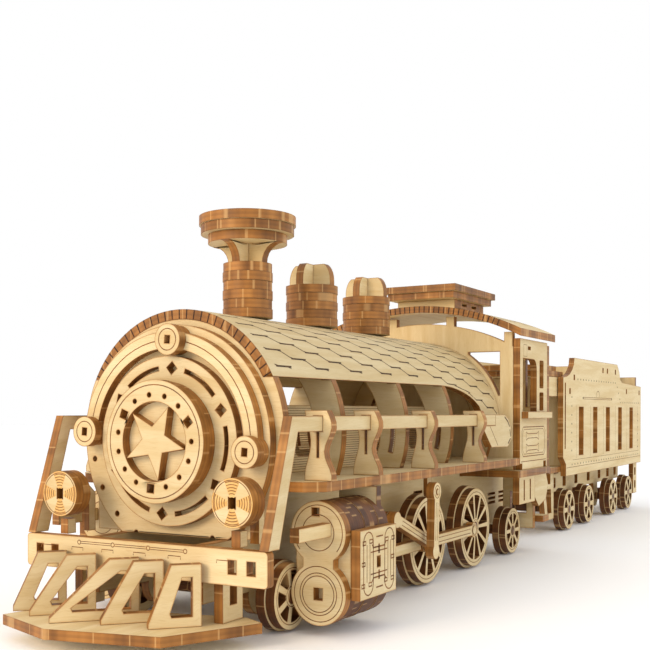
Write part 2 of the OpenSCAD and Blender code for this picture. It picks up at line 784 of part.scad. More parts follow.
module tender_trusses()
    color(wood) both_sides() plate_y(10.5) difference() {
        union() {
            box2(210, 326, 13.6, 20.6);
            for (s = [212, 232, 258, 271, 299, 322]) box2(s, s + 4, 20, tender_z - seam);
            for (s = tender_at) bearing_lobe(s, tender_r);
            for (s = tender_at) box2(s - 3.2, s + 3.2, tender_r, 14);
            polygon([[262, 14], [262, 5.5], [267, 3.4], [272, 5.5], [272, 14]]);
        }
        for (s = tender_at) bearing_hole(s, tender_r);
        for (s = [213.5, 226.5, 240, 256.5, 275, 292.5, 307, 320]) round_box2(s - 2.1, s + 2.1, 15.2, 19, 0.5);
    }
module tender_steps()
    color(wood) both_sides() {
        plate_y(15.5) difference() {
            polygon([[196.6, 18.6], [206, 18.2], [206, 22.2], [210, 22.2], [210, 5.2], [200.4, 5.2]]);
            polygon([[200.2, 16.4], [206.6, 16.2], [207.4, 7.6], [202.8, 7.6]]);
        }
        plate_y(tender_y - ply) difference() {
            box2(323.6, 330.4, 6.6, tender_z - seam);
            for (z = [9, 15]) round_box2(326, 328.4, z, z + 3.4, 0.4);
        }
    }
module tender_lamp() {
    lamp_at = [10, 61];
    color(burnt) {
        plate_y(lamp_at[0] - ply / 2) box2(325.15, 326.95, 49, 62);
        plate_x(323.1) translate(lamp_at) circle(2.6);
        plate_x(323.1 - ply - seam) translate(lamp_at) difference() {
            circle(3.3);
            square(1.2, center = true);
        }
    }
}

pilot_base();
pilot_bars();
pilot_brackets();
buffer_beam();
lamp_brackets();
lamps();
handrails();
handrail_posts();
handrail_brackets();
running_board();
cab_floor();
frame_sides();
frame_spacers();
star();
door_disc();
door_ring();
hoop();
smokebox_plate();
boiler_formers();
boiler_sheet();
core_sides();
chimney_rings();
chimney_rim();
dome_rings();
stack_fins_long();
stack_fins_cross();
cylinder_plates();
cylinder_fronts();
cylinder_panels();
valve_rods();
pistons();
main_rods();
side_rods();
link_levers();
lever_hangers();
leading_wheelset();
driver_1_wheelset();
driver_2_wheelset();
trailing_wheelset();
cab_front_wall();
cab_sides();
cab_sills();
cab_rear_posts();
cab_roof();
clerestory();
cab_steps();
drawbar();
tender_floor();
tender_sides();
tender_slats();
tender_walls();
tender_deck();
tender_doors();
tender_trusses();
tender_steps();
tender_lamp();
tender_wheelset_1();
tender_wheelset_2();
tender_wheelset_3();
tender_wheelset_4();
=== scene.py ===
"""Looks of the push-together plywood locomotive and tender.

Every plate is dressed from its CAD solid: the flat faces get a birch veneer that is scorched
along the cut, and the cut edges get the colour of laser-burnt ply.
"""
import json
import math
import random

import bmesh
import bpy
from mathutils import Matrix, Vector


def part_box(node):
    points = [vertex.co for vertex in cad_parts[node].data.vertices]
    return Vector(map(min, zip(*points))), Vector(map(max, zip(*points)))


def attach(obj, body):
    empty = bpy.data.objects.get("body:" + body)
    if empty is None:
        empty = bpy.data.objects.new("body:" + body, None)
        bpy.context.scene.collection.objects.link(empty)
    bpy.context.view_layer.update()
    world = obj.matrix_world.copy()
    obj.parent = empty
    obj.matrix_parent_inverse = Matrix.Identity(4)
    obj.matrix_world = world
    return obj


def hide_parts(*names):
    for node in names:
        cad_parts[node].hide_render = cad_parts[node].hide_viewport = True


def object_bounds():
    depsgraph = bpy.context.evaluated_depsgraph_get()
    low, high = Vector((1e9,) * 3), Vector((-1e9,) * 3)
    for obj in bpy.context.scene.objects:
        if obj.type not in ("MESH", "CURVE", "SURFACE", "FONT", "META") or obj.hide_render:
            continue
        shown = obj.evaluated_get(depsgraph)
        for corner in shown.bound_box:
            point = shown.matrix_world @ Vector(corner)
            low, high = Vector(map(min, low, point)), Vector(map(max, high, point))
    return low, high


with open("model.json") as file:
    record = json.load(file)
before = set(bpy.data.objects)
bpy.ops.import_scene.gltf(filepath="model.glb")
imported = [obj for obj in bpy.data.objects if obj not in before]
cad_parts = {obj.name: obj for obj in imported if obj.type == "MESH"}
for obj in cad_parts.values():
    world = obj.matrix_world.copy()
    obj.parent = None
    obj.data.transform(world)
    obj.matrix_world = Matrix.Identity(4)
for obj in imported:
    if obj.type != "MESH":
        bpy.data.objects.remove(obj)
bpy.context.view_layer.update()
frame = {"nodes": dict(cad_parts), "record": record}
nodes = frame["nodes"]
record = frame["record"]
MM = 0.001
body_of_node = {n: b for b, members in record["behaviour"]["bodies"].items() for n in members}
chance = random.Random(7)


# ---------- materials ----------
def linear(hex_colour):
    """sRGB hex colour as linear RGBA."""
    parts = [int(hex_colour[i:i + 2], 16) / 255 for i in (1, 3, 5)]
    return [c / 12.92 if c <= 0.04045 else ((c + 0.055) / 1.055) ** 2.4 for c in parts] + [1.0]


class Shader:
    """One material's node tree."""

    def __init__(self, name):
        self.material = bpy.data.materials.new(name)
        self.material.use_nodes = True
        self.tree = self.material.node_tree
        self.surface = self.tree.nodes["Principled BSDF"]

    def add(self, kind, links=None, **settings):
        """Adds a node. links feeds its sockets, from other nodes or with values; settings are properties."""
        made = self.tree.nodes.new(kind)
        for key, value in settings.items():
            setattr(made, key, value)
        for socket, value in (links or {}).items():
            if isinstance(value, tuple) and hasattr(value[0], "outputs"):
                self.tree.links.new(value[0].outputs[value[1]], made.inputs[socket])
            else:
                made.inputs[socket].default_value = value
        return made

    def ramp(self, factor, stops):
        made = self.tree.nodes.new("ShaderNodeValToRGB")
        self.tree.links.new(factor[0].outputs[factor[1]], made.inputs["Fac"])
        points = made.color_ramp.elements
        while len(points) < len(stops):
            points.new(0.5)
        for point, (place, colour) in zip(points, stops):
            point.position = place
            point.color = linear(colour) if isinstance(colour, str) else [colour] * 3 + [1]
        return made

    def mix(self, factor, a, b, mode="MIX"):
        made = self.tree.nodes.new("ShaderNodeMix")
        made.data_type = "RGBA"
        made.blend_type = mode
        for socket, value in ((0, factor), (6, a), (7, b)):
            if isinstance(value, tuple) and hasattr(value[0], "outputs"):
                self.tree.links.new(value[0].outputs[value[1]], made.inputs[socket])
            else:
                made.inputs[socket].default_value = value
        return made

    def to_surface(self, socket, source):
        self.tree.links.new(source[0].outputs[source[1]], self.surface.inputs[socket])


def stretched(shader, scale):
    """The sheet's own coordinates in mm, scaled along and across the grain."""
    sheet = shader.add("ShaderNodeAttribute", attribute_name="sheet")
    return shader.add("ShaderNodeMapping", {"Vector": (sheet, "Vector"), "Scale": scale})


def veneer(name, light, dark, fibre, scorch_line, scorch_smoke):
    """Birch ply face, laser cut and bare: matt, with fine grain and a smoked rim along every cut."""
    s = Shader(name)
    bands = s.add("ShaderNodeTexNoise", {"Vector": (stretched(s, (0.035, 0.32, 1)), 0), "Scale": 1.0,
                                         "Detail": 3.0, "Distortion": 0.6})
    # Slow bands of early and late wood give each sheet its warm and cool areas
    base = s.ramp((bands, "Fac"), [(0.3, light), (0.68, dark)])
    fine = s.add("ShaderNodeTexNoise", {"Vector": (stretched(s, (0.35, 7.0, 1)), 0), "Scale": 1.0,
                                        "Detail": 4.0, "Roughness": 0.62})
    # Short fibres read as faint darker dashes along the grain
    fibres = s.ramp((fine, "Fac"), [(0.52, 0.0), (0.78, 0.5)])
    grained = s.mix((fibres, "Color"), (base, "Color"), linear(fibre))
    whole = s.add("ShaderNodeAttribute", attribute_name="piece")
    # Every piece comes from another part of the sheet, so each is a little lighter or darker
    tone = s.ramp((whole, "Fac"), [(0.0, 0.9), (1.0, 1.05)])
    toned = s.mix(1.0, (grained, 2), (tone, "Color"), "MULTIPLY")
    rim = s.add("ShaderNodeAttribute", attribute_name="scorch")
    patchy = s.add("ShaderNodeTexNoise", {"Vector": (stretched(s, (0.25, 0.25, 1)), 0), "Scale": 1.0,
                                          "Detail": 3.0})
    amount = s.add("ShaderNodeMath", {0: (rim, "Fac"), 1: (patchy, "Fac")}, operation="MULTIPLY")
    # Smoke from the laser fades inwards, stronger in some stretches than in others
    smoke = s.ramp((amount, 0), [(0.05, 0.0), (0.55, 0.8)])
    smoked = s.mix((smoke, "Color"), (toned, 2), linear(scorch_smoke))
    line = s.ramp((rim, "Fac"), [(0.72, 0.0), (0.94, 1.0)])
    lined = s.mix((line, "Color"), (smoked, 2), linear(scorch_line))
    s.to_surface("Base Color", (lined, 2))
    s.surface.inputs["Roughness"].default_value = 0.62
    s.surface.inputs["Specular IOR Level"].default_value = 0.3
    bump = s.add("ShaderNodeBump", {"Strength": 0.12, "Distance": 0.00005, "Height": (fine, "Fac")})
    s.to_surface("Normal", (bump, "Normal"))
    return s.material


def burnt_edge(name, pale, amber, deep, char):
    """Laser-burnt cut edge of three-layer ply: amber, with dark glue lines and pale marks of the tabs."""
    s = Shader(name)
    streaks = s.add("ShaderNodeTexNoise", {"Vector": (stretched(s, (0.2, 0.2, 1)), 0), "Scale": 1.0,
                                           "Detail": 2.5, "Roughness": 0.55})
    base = s.ramp((streaks, "Fac"), [(0.22, pale), (0.42, amber), (0.6, deep), (0.82, char)])
    across = s.add("ShaderNodeAttribute", attribute_name="ply")
    # The glue lines are darker, and one outer veneer stays lighter than the other; the edge also darkens
    # towards both faces, painted shade as in the gap between stacked plates
    layers = s.ramp((across, "Fac"), [(0.0, 0.72), (0.12, 1.0), (0.34, 1.0), (0.42, 0.8), (0.62, 0.84),
                                      (0.72, 0.98), (0.9, 0.95), (1.0, 0.68)])
    layered = s.mix(1.0, (base, "Color"), (layers, "Color"), "MULTIPLY")
    ticks = s.add("ShaderNodeTexVoronoi", {"Vector": (stretched(s, (0.13, 0.13, 1)), 0), "Scale": 1.0},
                  feature="DISTANCE_TO_EDGE")
    # Narrow pale marks are left where the piece was snapped out of its sheet
    tick = s.ramp((ticks, "Distance"), [(0.008, 0.45), (0.022, 0.0)])
    marked = s.mix((tick, "Color"), (layered, 2), linear("#D9AE72"))
    whole = s.add("ShaderNodeAttribute", attribute_name="piece")
    tone = s.ramp((whole, "Fac"), [(0.0, 0.86), (1.0, 1.06)])
    toned = s.mix(1.0, (marked, 2), (tone, "Color"), "MULTIPLY")
    s.to_surface("Base Color", (toned, 2))
    s.surface.inputs["Roughness"].default_value = 0.5
    s.surface.inputs["Specular IOR Level"].default_value = 0.35
    bump = s.add("ShaderNodeBump", {"Strength": 0.35, "Distance": 0.00012, "Height": (streaks, "Fac")})
    s.to_surface("Normal", (bump, "Normal"))
    return s.material


def thin_dark_line(name, shallow, deep):
    """Thin brown line, a little uneven: a line scored by a weak laser pass, and the dark of slits, kerfs and
    holes, where it is burn plus painted shade in the gap.
    """
    s = Shader(name)
    place = s.add("ShaderNodeTexCoord")
    uneven = s.add("ShaderNodeTexNoise", {"Vector": (place, "Object"), "Scale": 700.0, "Detail": 2.0})
    shade = s.ramp((uneven, "Fac"), [(0.35, shallow), (0.65, deep)])
    s.to_surface("Base Color", (shade, "Color"))
    s.surface.inputs["Roughness"].default_value = 0.85
    return s.material


def floor_paper(name, colour):
    """Matt white paper sweep under soft light."""
    s = Shader(name)
    s.surface.inputs["Base Color"].default_value = linear(colour)
    s.surface.inputs["Roughness"].default_value = 0.9
    return s.material


face_mat = veneer("birch veneer", "#DECBA0", "#CFB684", "#B2905A", "#7C4C20", "#B98A50")
edge_mat = burnt_edge("burnt ply edge", "#BE8543", "#A46D2F", "#875722", "#5E3816")
# Darker edges for the wheels and cylinder stacks: burnt colour plus painted shade under the running board
shaded_stack_edge_mat = burnt_edge("burnt ply edge with painted shade", "#835024", "#6B3F1A", "#563114", "#3E220E")
line_mat = thin_dark_line("scored line", "#8E5C2C", "#5E3617")
# Slits are drawn as dark lines on the surface: the burn of their sides plus painted shade in the gap
slit_gap_shade_mat = thin_dark_line("slit with painted gap shade", "#5A3E22", "#33210F")
# Kerf ends and rivet holes are drawn dark: char on their sides plus painted shade inside
char_and_shade_mat = thin_dark_line("charred hole with painted shade", "#4A2A10", "#2A1608")
ochre_mat = veneer("scorched veneer", "#E4BE7C", "#D8A75E", "#B57C3A", "#6E3A12", "#B8752F")


# ---------- dressing the plates ----------
def islands(bm):
    """Groups of faces that hang together."""
    left = set(bm.faces)
    found = []
    while left:
        start = left.pop()
        group, stack = [start], [start]
        while stack:
            face = stack.pop()
            for edge in face.edges:
                for near in edge.link_faces:
                    if near in left:
                        left.remove(near)
                        group.append(near)
                        stack.append(near)
        found.append(group)
    return found


def plate_normal(group):
    """The direction that most of a solid's surface faces."""
    sums = {}
    for face in group:
        n = face.normal
        lead = max(range(3), key=lambda i: abs(n[i]))
        if n[lead] < 0:
            n = -n
        key = tuple(round(c, 2) for c in n)
        sums[key] = sums.get(key, 0) + face.calc_area()
    best = max(sums, key=sums.get)
    return Vector(best).normalized()


GRAIN_UP = {"cab_front_wall", "tender_walls", "cab_rear_posts"}
RIM = {"lamps": 0.25, "chimney_rings": 0.3, "dome_rings": 0.3}
WHEEL_RIM = 0.2
PLAIN_RIM = 0.34
# The wheels and cylinder stacks get darker burnt edges: painted shade for where they sit under the running
# board
SHADED_STACKS = ("cylinder_plates", "wheelset")
DOWEL_LENGTH = 12 * MM


def dress(name, centre=None):
    """Copies a CAD solid and gives it veneer on its faces, burnt ply on its cuts and a scorched rim.

    centre is the height of the bending axis of a bent sheet, whose faces point away from that axis.
    """
    source = nodes[name]
    bm = bmesh.new()
    bm.from_mesh(source.data)
    bmesh.ops.remove_doubles(bm, verts=bm.verts, dist=2e-6)
    bm.normal_update()
    sheet = bm.verts.layers.float_vector.new("sheet")
    scorch = bm.verts.layers.float.new("scorch")
    ply = bm.verts.layers.float.new("ply")
    piece = bm.verts.layers.float.new("piece")
    bm.verts.ensure_lookup_table()
    rim = RIM.get(name, WHEEL_RIM if "wheelset" in name else PLAIN_RIM) * MM
    all_faces = []
    for group in islands(bm):
        normal = plate_normal(group) if centre is None else Vector((0, 0, 1))
        verts = {v for f in group for v in f.verts}
        low = min(v.co.dot(normal) for v in verts)
        high = max(v.co.dot(normal) for v in verts)
        along = Vector((1, 0, 0)) if abs(normal.x) < 0.8 else Vector((0, 1, 0))
        if name in GRAIN_UP:
            along = Vector((0, 0, 1))
        along = (along - normal * along.dot(normal)).normalized()
        side = normal.cross(along)
        shift, tone = chance.uniform(0, 400), chance.random()
        thick = max(high - low, 1e-6)
        dowel = thick > DOWEL_LENGTH and centre is None
        for v in verts:
            if centre is None:
                across = (v.co.dot(normal) - low) / thick
                v[sheet] = (v.co.dot(along) / MM + shift, v.co.dot(side) / MM, shift)
            else:
                radius = math.hypot(v.co.y, v.co.z - centre)
                angle = math.atan2(v.co.y, v.co.z - centre)
                across = 1.0 if radius > outer_radius(name) - 0.9 * MM else 0.0
                v[sheet] = (v.co.x / MM + shift, angle * radius / MM, shift)
            v[ply] = across
            v[scorch] = 0.0
            v[piece] = tone
        top, bottom, cut = [], [], []
        for face in group:
            if centre is None:
                lean = face.normal.dot(normal)
            else:
                mid = face.calc_center_median()
                out = Vector((0, mid.y, mid.z - centre)).normalized()
                lean = face.normal.dot(out)
            if dowel:
                (cut if abs(lean) > 0.99 else top).append(face)
            else:
                (top if lean > 0.97 else bottom if lean < -0.97 else cut).append(face)
        for face in cut:
            face.material_index = 1
            for v in face.verts:
                v[scorch] = 1.0
        for region in (top, bottom):
            if region and not dowel:
                all_faces.append(region)
    for region in all_faces:
        before = set(bm.verts)
        bmesh.ops.inset_region(bm, faces=region, thickness=rim, use_even_offset=True, use_boundary=True)
        # The faces keep their own corners, drawn inwards, and the new corners lie on the cut
        for v in set(bm.verts) - before:
            v[scorch] = 1.0
        for face in region:
            for v in face.verts:
                v[scorch] = 0.0
    new_mesh = bpy.data.meshes.new(name + "_wood")
    bm.to_mesh(new_mesh)
    bm.free()
    new_mesh.materials.append(face_mat)
    new_mesh.materials.append(shaded_stack_edge_mat if any(key in name for key in SHADED_STACKS) else edge_mat)
    for polygon in new_mesh.polygons:
        polygon.use_smooth = True
    new_mesh.set_sharp_from_angle(angle=math.radians(32))
    made = bpy.data.objects.new(name + "_wood", new_mesh)
    bpy.context.scene.collection.objects.link(made)
    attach(made, body_of_node[name])
    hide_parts(name)
    return made


def outer_radius(name):
    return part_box(name)[1].z - bend_centre[name]


# Height of the axis that each bent sheet is bent about
BOILER_RADIUS = 25.5 * MM


def roof_radius():
    """Outer radius of the roof's arc, from its half width and how far its edges hang below the crown."""
    low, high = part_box("cab_roof")
    edge_z = max(v.co.z for v in nodes["cab_roof"].data.vertices if v.co.y > high.y - 0.2 * MM)
    half_width, sag = (high.y - low.y) / 2, high.z - edge_z
    return (half_width ** 2 + sag ** 2) / (2 * sag)


bend_centre = {
    "boiler_sheet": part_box("boiler_sheet")[1].z - BOILER_RADIUS,
    "cab_roof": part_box("cab_roof")[1].z - roof_radius(),
}

for cad_name in nodes:
    dress(cad_name, bend_centre.get(cad_name))


# ---------- scored and cut details ----------
# A scored line is wider than the beam that cut it
SCORCH_SPREAD = 1.35


class Marks:
    """Thin lines and small patches laid on flat faces, collected into one piece."""

    def __init__(self, name, body, material, slot="pale_ply"):
        self.name, self.body, self.material, self.slot = name, body, material, slot
        self.points, self.faces = [], []

    def quad(self, a, b, c, d):
        n = len(self.points)
        self.points += [a, b, c, d]
        self.faces.append((n, n + 1, n + 2, n + 3))

    def line(self, place, path, width, closed=False):
        """A line of constant width through flat points, placed in space by the function place."""
        path = [Vector(p) for p in path]
        count = len(path)
        left, right = [], []
        for i, p in enumerate(path):
            before = path[i - 1] if (i or closed) else p
            after = path[(i + 1) % count] if (i < count - 1 or closed) else p
            ahead = (after - before)
            if ahead.length < 1e-9:
                ahead = Vector((1, 0))
            ahead.normalize()
            out = Vector((-ahead.y, ahead.x)) * width * SCORCH_SPREAD / 2
            left.append(p + out)
            right.append(p - out)
        last = count if closed else count - 1
        for i in range(last):
            j = (i + 1) % count
            self.quad(place(*left[i]), place(*left[j]), place(*right[j]), place(*right[i]))

    def ring(self, place, cx, cy, radius, width, start=0, end=360, steps=None):
        steps = steps or max(10, int(abs(end - start) / 360 * 56))
        whole = abs(end - start) >= 360
        count = steps if whole else steps + 1
        angles = [math.radians(start + (end - start) * i / steps) for i in range(count)]
        path = [(cx + radius * math.cos(a), cy + radius * math.sin(a)) for a in angles]
        self.line(place, path, width, whole)

    def dot(self, place, cx, cy, radius, steps=12):
        n = len(self.points)
        self.points += [place(cx + radius * math.cos(math.tau * i / steps),
                              cy + radius * math.sin(math.tau * i / steps)) for i in range(steps)]
        self.faces.append(tuple(range(n, n + steps)))

    def finish(self):
        mesh = bpy.data.meshes.new(self.name)
        mesh.from_pydata([tuple(p) for p in self.points], [], self.faces)
        mesh.materials.append(self.material)
        for key in ("scorch", "piece", "ply"):
            layer = mesh.attributes.new(key, "FLOAT", "POINT")
            layer.data.foreach_set("value", [0.25 if key == "piece" else 0.0] * len(mesh.vertices))
        layer = mesh.attributes.new("sheet", "FLOAT_VECTOR", "POINT")
        flat = [c / MM for v in mesh.vertices for c in v.co]
        layer.data.foreach_set("vector", flat)
        made = bpy.data.objects.new(self.name, mesh)
        bpy.context.scene.collection.objects.link(made)
        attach(made, self.body)
        return made


LIFT = 0.014 * MM


def on_front(node_or_x):
    """Places flat points (y, z) in mm on a face that looks forwards."""
    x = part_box(node_or_x)[1].x if isinstance(node_or_x, str) else node_or_x
    return lambda y, z: Vector((x + LIFT, y * MM, z * MM))


def on_side(y, sign=1):
    """Places flat points (x, z) in mm on a face that looks to a side."""
    return lambda x, z: Vector((x * MM, sign * (y + LIFT), z * MM))


def middle(name):
    low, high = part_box(name)
    return (low + high) / 2 / MM


# Turn of the smokebox front, the radius of its hoop's middle line and the gap between stacked plates
FRONT_TURN = -5
HOOP_RADIUS = 20.4
SEAM = 0.05 * MM
door_mid = middle("door_disc")
front_lines = Marks("smokebox_scored_lines", "locomotive", line_mat)
door_face = on_front("door_disc")
front_lines.ring(door_face, 0, door_mid.z, 11.3, 0.16)
hoop_low, hoop_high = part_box("hoop")
boss_x = hoop_high.x
plate_face_x = hoop_low.x + (hoop_high.x - hoop_low.x - SEAM) / 2
hoop_face = on_front(plate_face_x)
front_lines.ring(hoop_face, 0, door_mid.z, HOOP_RADIUS, 0.16, 4, 166)
for quarter in (0, 90, 180):
    a = math.radians(FRONT_TURN + quarter)
    cy, cz = HOOP_RADIUS * math.cos(a), door_mid.z + HOOP_RADIUS * math.sin(a)
    front_lines.ring(on_front(boss_x), cy, cz, 2.15, 0.15)
front_lines.finish()

beam_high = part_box("buffer_beam")[1]
beam_mid = middle("buffer_beam")
# A row of small circles joined by double lines runs along the top, over small open frames
beam_lines = Marks("beam_scored_lines", "locomotive", line_mat)
beam_face = on_front("buffer_beam")
row = beam_high.z / MM - 1.1
circles = [-15.5, -6.6, 2.4, 11.4]
for y in circles:
    beam_lines.ring(beam_face, y, row, 0.42, 0.13, steps=14)
for y0, y1 in zip(circles, circles[1:]):
    for off in (-0.2, 0.2):
        beam_lines.line(beam_face, [(y0 + 0.5, row + off), (y1 - 0.5, row + off)], 0.1)
for y in (-24.2, -15.7, -7.7, 0.5, 9.1, 20.5):
    beam_lines.line(beam_face, [(y - 1.8, beam_mid.z + 0.6), (y - 1.8, beam_mid.z + 1.2),
                                (y + 1.2, beam_mid.z + 1.2), (y + 1.2, beam_mid.z + 0.6)], 0.12)
beam_lines.finish()

# Lamps: scorched sectors above, below and at both sides, with rings scored round the square hole
lamp_low, lamp_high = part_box("lamps")
lamp_r = (lamp_high.z - lamp_low.z) / 2 / MM
lamp_z = middle("lamps").z
lamp_y = lamp_high.y / MM - lamp_r
lamp_tint = Marks("lamp_scorched_sectors", "locomotive", ochre_mat, "burnt_stack")
lamp_lines = Marks("lamp_scored_rings", "locomotive", line_mat, "burnt_stack")
for side in (-1, 1):
    cy = side * lamp_y
    for base in (0, 90, 180, 270):
        lamp_tint.ring(on_front(lamp_high.x), cy, lamp_z, 2.85, 2.6, base - 24, base + 24, 14)
    for k in range(5):
        for base in range(0, 360, 90):
            radius = 1.75 + 0.56 * k
            lamp_lines.ring(on_front(lamp_high.x + LIFT), cy, lamp_z, radius, 0.12, base - 22, base + 22, 12)
    lamp_lines.ring(on_front(lamp_high.x + LIFT), cy, lamp_z, 4.25, 0.12)
lamp_tint.finish()
lamp_lines.finish()

# Cylinder fronts and side panels
cf_low, cf_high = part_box("cylinder_fronts")
cyl_lines = Marks("cylinder_scored_lines", "locomotive", line_mat)
CYLINDER_RADIUS = 6.3
cyl_y = cf_high.y / MM - CYLINDER_RADIUS
low_z, high_z = cf_low.z / MM + CYLINDER_RADIUS, cf_high.z / MM - CYLINDER_RADIUS
for side in (-1, 1):
    face = on_front(cf_high.x)
    cyl_lines.ring(face, side * cyl_y, low_z, 5.5, 0.14)
    cyl_lines.ring(face, side * cyl_y, low_z, 4.2, 0.14)
    cyl_lines.ring(face, side * cyl_y, low_z, 3.6, 0.14)
    cyl_lines.ring(face, side * cyl_y, high_z, 5.5, 0.14, -40, 220)
    cyl_lines.ring(face, side * cyl_y, high_z, 3.6, 0.14)
panel_low, panel_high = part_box("cylinder_panels")
panel_long, panel_tall = (panel_high.x - panel_low.x) / MM, (panel_high.z - panel_low.z) / MM


def on_panel(side):
    """Places shares of the side panel, (0, 0) at its lower front corner and (1, 1) at its upper rear one."""
    face = on_side(panel_high.y, side)
    return lambda u, v: face(panel_high.x / MM - u * panel_long, panel_low.z / MM + v * panel_tall)


def stadium(mid, low, high, half, steps=8):
    """Upright outline with round ends, in shares of the panel."""
    flat = half * panel_long / panel_tall
    path = []
    for centre_v, start in ((high - flat, 0), (low + flat, 180)):
        for i in range(steps + 1):
            a = math.radians(start + 180 * i / steps)
            path.append((mid + half * math.cos(a), centre_v + flat * math.sin(a)))
    return path


for side in (-1, 1):
    panel = on_panel(side)
    for mid in (0.22, 0.8):
        cyl_lines.line(panel, stadium(mid, 0.05, 0.96, 0.13), 0.014, True)
        for off in (-0.04, 0.04):
            cyl_lines.line(panel, [(mid + off, 0.24), (mid + off, 0.78)], 0.01)
    for u, v in ((0.11, 0.81), (0.29, 0.82), (0.73, 0.8), (0.91, 0.8), (0.09, 0.51), (0.9, 0.52),
                 (0.08, 0.2), (0.27, 0.2), (0.7, 0.2), (0.89, 0.2)):
        cyl_lines.line(panel, [(u - 0.04, v - 0.025), (u + 0.04, v - 0.025), (u + 0.04, v + 0.025),
                               (u - 0.04, v + 0.025)], 0.017, True)
    v = 0.5
    for sign in (1, -1):
        cyl_lines.line(panel, [(0.43, v + sign * 0.37), (0.62, v + sign * 0.37)], 0.016)
        cyl_lines.line(panel, [(0.32, v + sign * 0.27), (0.35, v + sign * 0.22), (0.66, v + sign * 0.22),
                               (0.7, v + sign * 0.27)], 0.018)
        cyl_lines.line(panel, [(0.28, v + sign * 0.16), (0.74, v + sign * 0.16)], 0.014)
        cyl_lines.line(panel, [(0.51, v + sign * 0.12), (0.51, v + sign * 0.26)], 0.03)
cyl_lines.finish()


EYE_CLEAR = 2.6


def rod_groove(marks, y, x0, z0, x1, z1, half):
    """Long narrow outline scored down the middle of a rod, short of the eye at each end."""
    d = Vector((x1 - x0, z1 - z0))
    u = d.normalized()
    n = Vector((-u.y, u.x)) * half
    a, b = Vector((x0, z0)) + u * EYE_CLEAR, Vector((x1, z1)) - u * EYE_CLEAR
    for side in (-1, 1):
        marks.line(on_side(y, side), [a + n, b + n, b - n, a - n], 0.14, True)


joint = {j["name"]: j for j in record["behaviour"]["joints"]}
pin_1 = Vector(joint["side_rods_turn"]["pos_m"]) / MM
axle_1 = Vector(joint["driving_axle_1_spin"]["pos_m"]) / MM
axle_2 = Vector(joint["driving_axle_2_spin"]["pos_m"]) / MM
pin_2 = pin_1 + axle_2 - axle_1
rod_lines = Marks("side_rod_grooves", "side_rods", line_mat)
side_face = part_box("side_rods")[1].y
rod_groove(rod_lines, side_face, pin_2.x, pin_2.z, pin_1.x, pin_1.z, 0.55)
for side in (-1, 1):
    for pin in (pin_1, pin_2):
        rod_lines.ring(on_side(side_face, side), pin.x, pin.z, 1.65, 0.12)
rod_lines.finish()
main_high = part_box("main_rods")[1]
EYE_RADIUS = 1.9
cross = Vector((main_high.x / MM - EYE_RADIUS, 0, main_high.z / MM - EYE_RADIUS))
main_lines = Marks("main_rod_grooves", "main_rods", line_mat)
rod_groove(main_lines, main_high.y, pin_1.x, pin_1.z, cross.x, cross.z, 0.5)
main_lines.finish()
lever_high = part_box("link_levers")[1]
lever_pin = Vector(joint["link_levers_swing"]["pos_m"]) / MM
lever_lines = Marks("lever_grooves", "link_levers", line_mat)
rod_groove(lever_lines, lever_high.y, lever_pin.x + 0.6, 10.9, lever_pin.x, lever_pin.z, 0.5)
for side in (-1, 1):
    lever_lines.ring(on_side(lever_high.y, side), lever_pin.x, lever_pin.z, 1.5, 0.14)
lever_lines.finish()


def wheel_lines(node, axle_joint, body):
    """Circles scored round a wheel's rim and hub, on the face that the CAD wheel shows."""
    at = Vector(joint[axle_joint]["pos_m"])
    corners = [(math.hypot(v.co.x - at.x, v.co.z - at.z), v.co.y) for v in nodes[node].data.vertices]
    widest = max(radius for radius, y in corners)
    face_y = max(y for radius, y in corners if radius > 0.85 * widest)
    tread = max(radius for radius, y in corners if y > face_y - 0.1 * MM)
    marks = Marks(node + "_scored_rings", body, line_mat, "burnt_stack")
    for side in (-1, 1):
        for radius in (tread / MM - 1.0, 2.1):
            marks.ring(on_side(face_y, side), at.x / MM, at.z / MM, radius, 0.13)
    marks.finish()


for axle in [j["name"] for j in record["behaviour"]["joints"] if "axle" in j["name"]]:
    wheel_body = joint[axle]["child"]
    wheel_lines(record["behaviour"]["bodies"][wheel_body][0], axle, wheel_body)

# Cab sides: a cut-cornered panel with two bars under the sill, and a small frame at the top
cab_low, cab_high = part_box("cab_sides")
cab_lines = Marks("cab_scored_panels", "locomotive", line_mat)
cab_front, cab_foot = cab_high.x / MM, cab_low.z / MM
cab_rear = cab_low.x / MM
for side in (-1, 1):
    face = on_side(cab_high.y, side)
    for inset, width in ((0, 0.2), (0.7, 0.13)):
        x0, x1 = cab_rear + 2 + inset, cab_front - 1.8 - inset
        z0, z1 = cab_foot + 3.9 + inset, cab_foot + 12.6 - inset
        c = 1.2
        cab_lines.line(face, [(x0 + c, z0), (x1 - c, z0), (x1, z0 + c), (x1, z1 - c),
                              (x1 - c, z1), (x0 + c, z1), (x0, z1 - c), (x0, z0 + c)], width, True)
    # Two bars whose corners flare like a bow tie
    for z in (cab_foot + 6.3, cab_foot + 9.9):
        x0, x1, flare = cab_front - 16.9, cab_front - 6.1, 0.45
        for sign in (-1, 1):
            cab_lines.line(face, [(x0 - flare, z + sign * 1.25), (x0 + 1.2, z + sign * 0.65),
                                  (x1 - 1.2, z + sign * 0.65), (x1 + flare, z + sign * 1.25)], 0.16)
        for x in (x0 - flare, x1 + flare):
            cab_lines.line(face, [(x, z - 1.25), (x, z + 1.25)], 0.16)
    cab_lines.line(face, [(cab_rear + 1, cab_foot + 2.4), (cab_front - 1, cab_foot + 2.4)], 0.16)
    x, z = cab_front - 4.6, cab_high.z / MM - 3.4
    cab_lines.line(face, [(x - 1.5, z - 1.7), (x + 1.5, z - 1.7), (x + 1.5, z + 1.7), (x - 1.5, z + 1.7)],
                   0.14, True)
cab_lines.finish()
